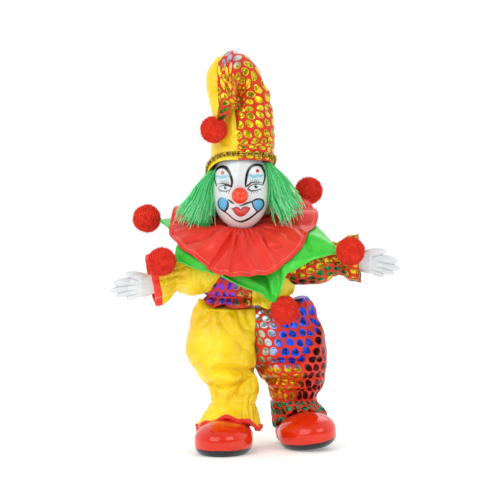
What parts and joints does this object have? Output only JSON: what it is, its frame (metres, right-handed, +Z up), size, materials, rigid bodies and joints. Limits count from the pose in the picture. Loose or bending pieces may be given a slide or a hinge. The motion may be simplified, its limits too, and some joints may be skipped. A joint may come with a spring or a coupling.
{
  "type": "ceramic clown doll with stuffed satin costume",
  "caption": "Standing clown doll with glazed ceramic head, hands and shoes, a stuffed two-colour satin costume, pleated and pointed collars, folded cone hat and pompoms",
  "frame": {"origin": "centre of the bounding box on the floor plane", "axes": "+Z up along the doll's height, the doll faces -Y, +X is the viewer's right"},
  "size_m": [0.2194, 0.1484, 0.2993],
  "materials": {
    "white_glaze": "gloss",
    "red_glaze": "gloss, with a black-painted sole band",
    "yellow_satin": "satin",
    "red_satin": "satin",
    "green_satin": "satin",
    "foil_dot_cloth": "red cloth with rows of metallic foil dots",
    "green_fur": "long synthetic fibre",
    "red_yarn": "fuzzy yarn",
    "gold_braid": "metallic thread"
  },
  "bodies": {
    "root": {"head": "white_glaze", "hair": "green_fur", "hat_yellow_panel": "yellow_satin", "hat_dotted_panel": "foil_dot_cloth", "hat_gold_trim": "gold_braid", "hat_pompom": "red_yarn", "ruff": "red_satin", "star_collar": "green_satin", "collar_pompom_1": "red_yarn", "collar_pompom_2": "red_yarn", "collar_pompom_3": "red_yarn", "collar_pompom_4": "red_yarn", "collar_pompom_5": "red_yarn", "collar_pompom_6": "red_yarn", "top_dotted_half": "foil_dot_cloth", "top_yellow_half": "yellow_satin", "sleeve_yellow": "yellow_satin", "sleeve_dotted": "foil_dot_cloth", "cuff_trim": "red_satin", "hand_left": "white_glaze", "hand_right": "white_glaze", "trouser_leg_yellow": "yellow_satin", "trouser_leg_dotted": "foil_dot_cloth", "hem_trim": "red_satin", "shoe_left": "red_glaze", "shoe_right": "red_glaze"}
  },
  "joints": []
}
